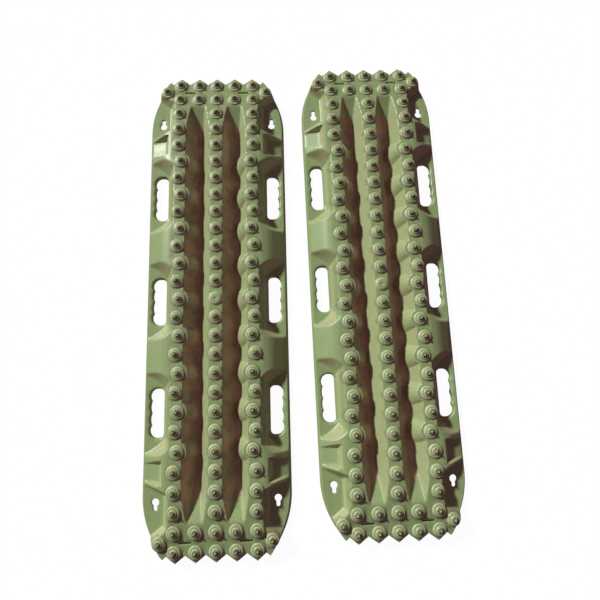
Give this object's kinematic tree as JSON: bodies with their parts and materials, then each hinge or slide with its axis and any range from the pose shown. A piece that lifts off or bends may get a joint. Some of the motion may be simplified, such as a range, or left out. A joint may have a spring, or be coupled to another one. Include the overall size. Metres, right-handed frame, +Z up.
{
  "type": "vehicle recovery boards",
  "caption": "Pair of one-piece moulded traction boards with pointed studs, toothed ends, two deep channels, hand slots and keyholes, lying side by side.",
  "frame": {"origin": "on the ground under the middle of the pair's bounding box", "axes": "+X across the pair, +Y along the left board, +Z up; the right board is turned 1.12 degrees as it lies"},
  "size_m": [0.6718, 1.0848, 0.0565],
  "materials": {
    "left_board_plastic": "satin glass-filled nylon, sage green, lightly dusted and scuffed on the stud tips",
    "right_board_plastic": "satin glass-filled nylon, sage green, lightly dusted and scuffed on the stud tips"
  },
  "bodies": {
    "left": {"left_board": "left_board_plastic"},
    "right": {"right_board": "right_board_plastic"}
  },
  "joints": [
    {"name": "right_board_lift", "type": "slide", "parent": "left", "child": "right", "axis": [0, 0, 1], "range_m": [0, 0.25]}
  ]
}
